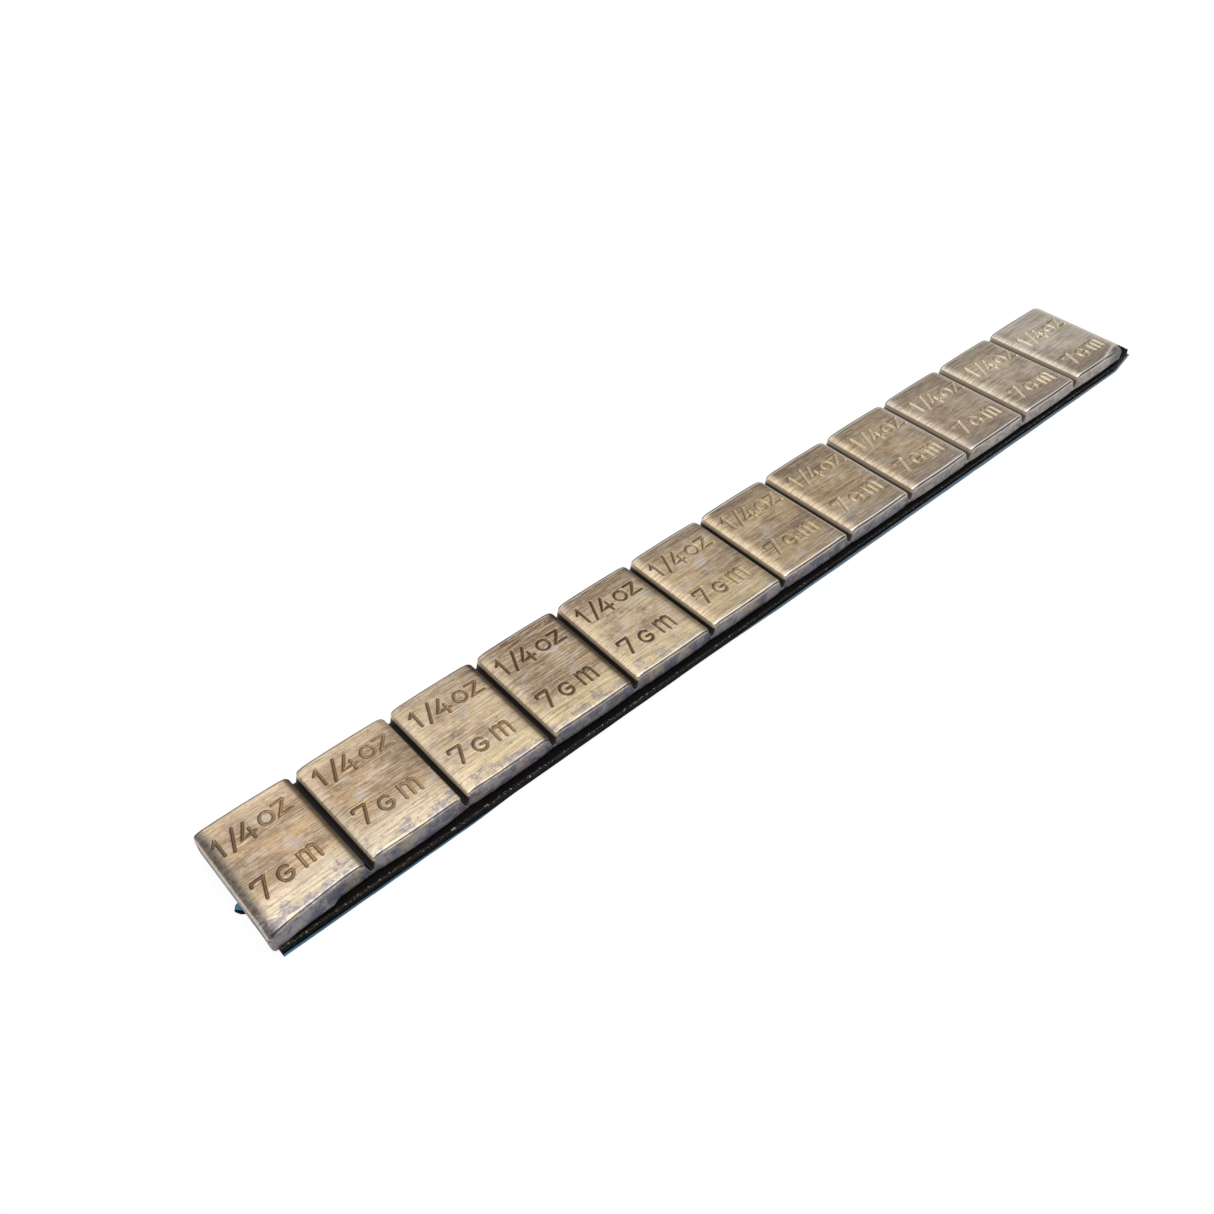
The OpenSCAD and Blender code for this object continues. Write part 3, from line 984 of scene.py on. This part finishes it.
def lead_top(m, at):
    """The tops without their marks: colour by place, tarnish by segment, patches, a painted
    reflection towards the front, painted highlights on the rims, and brushing.
    """
    m.color = m.mix(m.ramp(m.x, -70, 0), GROUND_NEAR, GROUND_MIDDLE)
    m.lay(GROUND_FAR, m.ramp(m.x, 15, 80))
    m.lay(BROWNED, m.ramp(at.tone, 0.5, 1, 0, 0.5))
    m.lay(UNTURNED, m.ramp(at.tone, 0.5, 0, 0, 0.45))
    m.lay(CLOUD_DARK, m.ramp(at.cloud, 0.48, 0.62, 0, 0.6))
    m.lay(CLOUD_PALE, m.ramp(at.cloud, 0.46, 0.36, 0, 0.45))
    broken = m.ramp(at.mottle, 0.4, 0.6, 0.25, 1)
    m.lay(PATCH_PALE, m.ramp(at.patch, 0.5, 0.64, 0, 0.75), broken)
    m.lay(PATCH_DARK, m.ramp(at.patch, 0.49, 0.38, 0, 0.75), broken)

    front, back = m.ramp(m.y, -2.5, -7), m.ramp(m.y, 4, 8)
    # Painted reflection: the front part of the near tops is paler
    pale = m.mix(m.ramp(m.x, -66, -42), FRONT_REFLECTION_NEAR, FRONT_REFLECTION_MIDDLE)
    m.lay(pale, front, m.ramp(m.x, -65, 40, 0.95, 0))
    m.lay(FRONT_FAR, front, m.ramp(m.x, -20, 50, 0, 0.85))
    m.lay(BACK_PALE, back, m.ramp(m.x, -75, 50, 0.5, 0))
    m.lay(BACK_BROWN, back, m.band(m.x, -65, 65), m.ramp(at.tone, 0.1, 0.8, 0.6, 1))
    m.lay(BACK_DARK, back, m.band(m.x, -56, -2))
    m.lay(BACK_FAR, back, m.ramp(m.x, 20, 50, 0, 0.6))
    m.lay(LAST_PALE, m.ramp(m.x, 66, 72), m.ramp(m.y, -4, -1), 0.45)

    # Painted highlight on the near rims, and on the far rims far off
    rim = m.mix(m.ramp(m.x, -62, -40), NEAR_RIM, NEAR_RIM_MIDDLE)
    rim = m.mix(m.ramp(m.x, 20, 50), rim, NEAR_RIM_FAR)
    m.lay(rim, m.ramp(at.along, -4.8, -6), m.ramp(m.x, -70, 0, 0.4, 0.85))
    m.lay(FAR_RIM_HIGHLIGHT, m.ramp(at.along, 4.8, 5.7), m.ramp(m.x, 10, 45, 0, 0.75))

    m.lay(MOTTLE_DARK, m.ramp(at.mottle, 0.54, 0.66, 0, 0.4))
    m.lay(MOTTLE_PALE, m.ramp(at.mottle, 0.46, 0.36, 0, 0.3))
    m.lay(BAND_DARK, m.ramp(at.bands, 0.43, 0.52, 0.22, 0))
    m.lay(LINE_DARK, m.ramp(at.lines, 0.43, 0.52, 0.42, 0))
    m.lay(HAIR_PALE, m.ramp(at.hairs, 0.5, 0.59, 0, 0.45))
    m.lay(SPECKLE, m.ramp(at.speckle, 0.66, 0.74, 0, 0.5))


def lead_marks(m, at):
    """The stamped marks: brown near, darkest on the next segments, painted light at the far end, with
    painted shade and highlight on their walls.
    """
    stroke = m.mix(m.ramp(at.along, 1.5, -2.5), STROKE_PALE, STROKE_BROWN)
    stroke = m.mix(m.times(m.band(m.x, -54, 8), 0.9), stroke, STROKE_DARK)
    # Painted light: the marks' hollows paler far off, where their walls catch the overhead light
    stroke = m.mix(m.ramp(m.x, -25, 40), stroke, STROKE_FAR_LIT)
    bright = m.mix(m.ramp(m.x, -70, -10), HIGHLIGHT_NEAR, HIGHLIGHT_MIDDLE)
    bright = m.mix(m.ramp(m.x, 0, 60), bright, HIGHLIGHT_FAR)
    seam = m.math("ADD", m.times(m.band(m.x, -54, -4), 0.45), m.ramp(m.x, -20, 30, 0.3, 0))
    m.lay(stroke, m.ramp(at.stamp, 0.1, 0.7, 0, 0.75))
    # Painted highlight on the marks' lower right walls
    m.lay(bright, at.lower, m.ramp(m.x, -80, 40, 0.3, 0.8))
    m.lay(SEAM_DARK, m.ramp(at.stamp, 0.78, 0.95), seam, m.ramp(at.mottle, 0.3, 0.55, 0.4, 1))
    # Painted shade on the marks' upper left walls
    m.lay(SHADE_DARK, at.upper, m.ramp(m.x, -10, 60, 0.75, 0.5))


def lead_edges(m, at):
    """The tops' edges: dirt, a painted highlight and the step's painted shade along the sides,
    painted shade and highlight at the rims and at the near end.
    """
    dirt = m.math("ADD", at.stain, m.times(m.ramp(m.y, -5, -8.2), 0.16))
    dirt = m.times(m.ramp(dirt, 0.6, 0.68), m.ramp(at.mottle, 0.38, 0.54, 0.3, 1))
    m.lay(EDGE_DIRT, dirt, m.ramp(m.y, -4.6, -6.2), m.ramp(m.x, -50, 0, 0.68, 0.3))
    # A painted highlight along the tops' edge, and painted shade in the step
    m.lay(EDGE_HIGHLIGHT, m.band(at.inset, 0.16, 0.5), m.ramp(m.x, -50, 0, 0.35, 0.9))
    m.lay(STEP_SHADE, m.band(at.inset, 0.03, 0.23), 0.95)

    # Painted shade on the far rims, less where lit, a painted highlight on their edge far off, and
    # painted shade at the outer edge of the near rims
    lit = m.times(m.band(m.x, -64, -47), 0.8)
    shaded = m.math("SUBTRACT", m.ramp(m.x, -30, 10, 0.85, 0), lit)
    m.lay(RIM_SHADE, m.ramp(at.along, 5.3, 5.95), shaded)
    m.lay(RIM_HIGHLIGHT, m.ramp(at.along, 5.7, 6.1), m.ramp(m.x, 0, 25))
    m.lay(RIM_FOOT_SHADE, m.ramp(at.along, -6, -6.3), m.ramp(m.x, 0, 30, 0, 0.8))

    # Painted shade where the top rolls down at the near end, and a painted highlight on the end's
    # edge
    shade_break = m.ramp(at.mottle, 0.2, 0.7, 0.7, 1)
    m.lay(END_SHADE, m.ramp(m.x, -81.5, -81.3), m.ramp(m.x, -79.6, -81), shade_break)
    m.lay(END_HIGHLIGHT, m.ramp(m.x, -81.45, -81.6), 0.8)


def lead_grooves(m, at):
    """The grooves: painted light on the near wall, painted shade on the far wall except far off where
    it is painted light, and painted shade deep down.
    """
    # Painted light and shade on the groove walls, and painted shade deeper down
    near_wall = m.mix(m.ramp(m.x, -60, 40), NEAR_WALL, NEAR_WALL_FAR)
    far_wall = m.mix(m.ramp(m.x, -30, 20), FAR_WALL, FAR_WALL_FAR)
    wall = m.mix(m.ramp(at.along, -5.9, -6.2), far_wall, near_wall)
    m.lay(wall, m.ramp(at.deep, 0.13, 0.2, 0, 0.9))
    m.lay(GROOVE_SHADE, m.ramp(at.deep, 0.19, 0.37, 0, 0.97), m.ramp(m.x, 0, 50, 1, 0.75))


def lead_sides(m, at):
    """The side walls: blue-grey near, brown and pale farther on, with a painted highlight along their
    top.
    """
    top = m.color
    m.color = m.mix(m.ramp(at.patch, 0.42, 0.58), SIDE_SLATE, SIDE_GREY)
    m.lay(SIDE_BROWN, m.ramp(at.cloud, 0.5, 0.64), m.ramp(m.x, -78, -66, 0.15, 0.7))
    m.lay(SIDE_FAR, m.ramp(m.x, 10, 60, 0, 0.6))
    m.lay(SIDE_STAIN, m.ramp(at.stain, 0.48, 0.58), m.ramp(m.x, 0, 40, 0, 0.6))
    m.lay(SIDE_DARK, m.ramp(at.mottle, 0.5, 0.62, 0, 0.55))
    # Painted highlight along the top of the side walls
    m.lay(SIDE_HIGHLIGHT, m.band(at.inset, -0.22, 0), m.ramp(m.x, -60, 30, 0.25, 0.8))
    m.color = m.mix(at.side, top, m.color)


def lead_bend(m, at):
    """The last segment's bent corner: painted shade past the bend, a painted highlight along it."""
    slope_x, slope_y = math.sin(DENT_ANGLE), math.cos(DENT_ANGLE)
    past = m.math("SUBTRACT", m.times(m.x, slope_x), m.times(m.y, slope_y))
    past = m.math("ADD", past, past_bend(0, 0))
    past = m.math("ADD", past, m.times(m.math("SUBTRACT", at.mottle, 0.5), 0.7))
    # Painted shade past the bend and a painted highlight along it
    m.lay(BENT_SHADE, m.ramp(past, 0.3, 0.7), m.ramp(m.x, 76, 80, 0, 0.85))
    m.lay(BEND_HIGHLIGHT, m.band(past, -0.35, 0.35), m.ramp(m.x, 74.5, 77.5), 0.8)


def lead_material():
    """Stamped lead: golden and brown near, greyer far off, with painted light and shade on its rims,
    edges, grooves, marks and near end.
    """
    m = Shader("lead")
    at = lead_patterns(m)
    for layers in (lead_top, lead_marks, lead_edges, lead_grooves, lead_sides, lead_bend):
        layers(m, at)
    roughness = m.ramp(at.mottle, 0.3, 0.7, 0.24, 0.42)
    roughness = m.math("ADD", roughness, m.ramp(at.deep, 0.16, 0.4, 0, 0.2))
    bare = m.ramp(at.deep, 0.09, 0.15, 1, 0.2)
    metallic = m.math("MINIMUM", m.ramp(at.side, 0, 1, 0.95, 0.45), bare)
    normal = m.bump(at.lines, 0.4, 0.02)
    normal = m.bump(at.hairs, 0.3, 0.01, normal)
    normal = m.bump(at.mottle, 0.3, 0.03, normal)
    return m.finish(metallic=metallic, roughness=roughness, normal=normal)


# The foam's and the liner's colours
FOAM_BLACK, FOAM_GREY, FOAM_DUST_AND_HIGHLIGHT, FOAM_SPECK_AND_HIGHLIGHT = (
    (0.002, 0.002, 0.0025), (0.006, 0.005, 0.005), (0.13, 0.1, 0.08), (0.62, 0.55, 0.47),
)
FOAM_SPECULAR = 0.15
LINER_BLUE, LINER_PALE = (0.07, 0.3, 0.5), (0.1, 0.37, 0.58)
LINER_SHADED, LINER_FAR = (0.1, 0.16, 0.23), (0.25, 0.33, 0.41)


def foam_material():
    """Black closed-cell foam with pale specks along its torn top edge, partly a painted highlight of
    that edge.
    """
    m = Shader("foam")
    below = m.math("SUBTRACT", m.attribute("edge"), m.ramp(m.x, -60, 50, -0.12, 0.25))
    speck = m.noise(m.place, scale=3.4, detail=2, roughness=0.6)
    dust = m.noise(m.place, scale=7.0, detail=2, roughness=0.6)
    cells = m.noise(m.place, scale=3.5, detail=4, roughness=0.7)
    # Pale specks along the top edge: torn foam, partly a painted highlight of the edge
    torn = m.band(below, -0.38, 0.38)
    m.color = m.mix(m.ramp(cells, 0.4, 0.65), FOAM_BLACK, FOAM_GREY)
    m.lay(FOAM_DUST_AND_HIGHLIGHT, m.ramp(dust, 0.44, 0.6), torn, 0.8)
    m.lay(FOAM_SPECK_AND_HIGHLIGHT, m.ramp(speck, 0.62, 0.68), m.ramp(torn, 0.1, 0.5))
    m.principled.inputs["Specular IOR Level"].default_value = FOAM_SPECULAR
    return m.finish(roughness=m.ramp(cells, 0.3, 0.7, 0.6, 0.85), normal=m.bump(cells, 0.6, 0.1))


def liner_material():
    """Thin blue film, half gloss, shaded at the near end and paler farther on."""
    m = Shader("liner")
    cloud = m.noise(m.place, scale=0.3, detail=3)
    m.color = m.mix(m.ramp(cloud, 0.35, 0.65), LINER_BLUE, LINER_PALE)
    m.lay(LINER_SHADED, m.ramp(m.x, -80.5, -76, 0, 0.7))
    m.lay(LINER_FAR, m.ramp(m.x, -50, 30, 0, 0.8))
    return m.finish(roughness=m.ramp(cloud, 0.3, 0.7, 0.28, 0.4))


lead_strip.data.materials.append(lead_material())
foam = foam_material()
tape_foam.data.materials.append(foam)
foam_shred.data.materials.append(foam)
liner_film.data.materials.append(liner_material())


# The floor: half its side in metres, its own grey, how strongly it glows and how much of that shows
FLOOR_HALF = 3
FLOOR_GREY = 0.8
FLOOR_GLOW = 1.12
FLOOR_SHARE = 0.8

# The world's light: from overhead, by the height that it starts and is full at, and from all
# round, by the direction in Y where the dimmer front ends and the brighter back starts
SKY_COLOR = (0.98, 0.99, 1.0)
OVERHEAD_FROM, OVERHEAD_FULL, OVERHEAD = 0.55, 0.92, 0.85
FRONT_LEVEL, BACK_LEVEL = 0.2, 0.48
FRONT_END, BACK_START = -0.6, -0.15


def floor_material():
    """Pale floor that stays white to the camera and in reflections, but keeps a faint shadow."""
    m = Shader("floor")
    ray = m.add("ShaderNodeLightPath").outputs
    seen = m.math("MAXIMUM", ray["Is Camera Ray"], ray["Is Glossy Ray"])
    seen = m.math("MAXIMUM", seen, ray["Is Transmission Ray"])
    plain = m.add("ShaderNodeBsdfDiffuse", {"Color": (FLOOR_GREY,) * 3}).outputs[0]
    white = m.add("ShaderNodeEmission", {"Color": (1.0, 1.0, 1.0), "Strength": FLOOR_GLOW}).outputs[0]
    mixed = m.add("ShaderNodeMixShader", {0: m.times(seen, FLOOR_SHARE), 1: plain, 2: white})
    m.put(m.tree.nodes["Material Output"].inputs["Surface"], mixed.outputs[0])
    return m.material


floor_mesh = bpy.data.meshes.new("floor")
floor_corners = [(x * FLOOR_HALF, y * FLOOR_HALF, 0) for x, y in ((-1, -1), (1, -1), (1, 1), (-1, 1))]
floor_mesh.from_pydata(floor_corners, [], [(0, 1, 2, 3)])
floor = add_object("floor", floor_mesh)
floor.data.materials.append(floor_material())


def make_world():
    """A studio that is bright overhead, dimmer towards the horizon and dimmest on the front side."""
    world = bpy.data.worlds.new("studio")
    bpy.context.scene.world = world
    world.use_nodes = True
    nodes = Nodes(world.node_tree)
    way = nodes.add("ShaderNodeTexCoord").outputs["Generated"]
    _, way_y, way_z = nodes.add("ShaderNodeSeparateXYZ", {0: way}).outputs
    overhead = nodes.ramp(way_z, OVERHEAD_FROM, OVERHEAD_FULL, 0, OVERHEAD)
    around = nodes.ramp(way_y, FRONT_END, BACK_START, FRONT_LEVEL, BACK_LEVEL)
    background = world.node_tree.nodes["Background"]
    nodes.put(background.inputs["Strength"], nodes.math("ADD", overhead, around))
    nodes.put(background.inputs["Color"], SKY_COLOR)


# The lamp: place and side in metres, power in watts
LAMP_PLACE = Vector((0.1, -0.05, 0.9))
LAMP_SIDE = 0.5
LAMP_POWER = 0.4


def make_lamp():
    """A soft square lamp that looks at the middle of the strip."""
    data = bpy.data.lights.new("overhead", "AREA")
    data.shape = "SQUARE"
    data.size = LAMP_SIDE
    data.energy = LAMP_POWER
    lamp = add_object("overhead", data)
    lamp.location = LAMP_PLACE
    lamp.rotation_euler = (-LAMP_PLACE).to_track_quat("-Z", "Y").to_euler()


make_world()
make_lamp()
bpy.context.scene.view_settings.view_transform = "Standard"
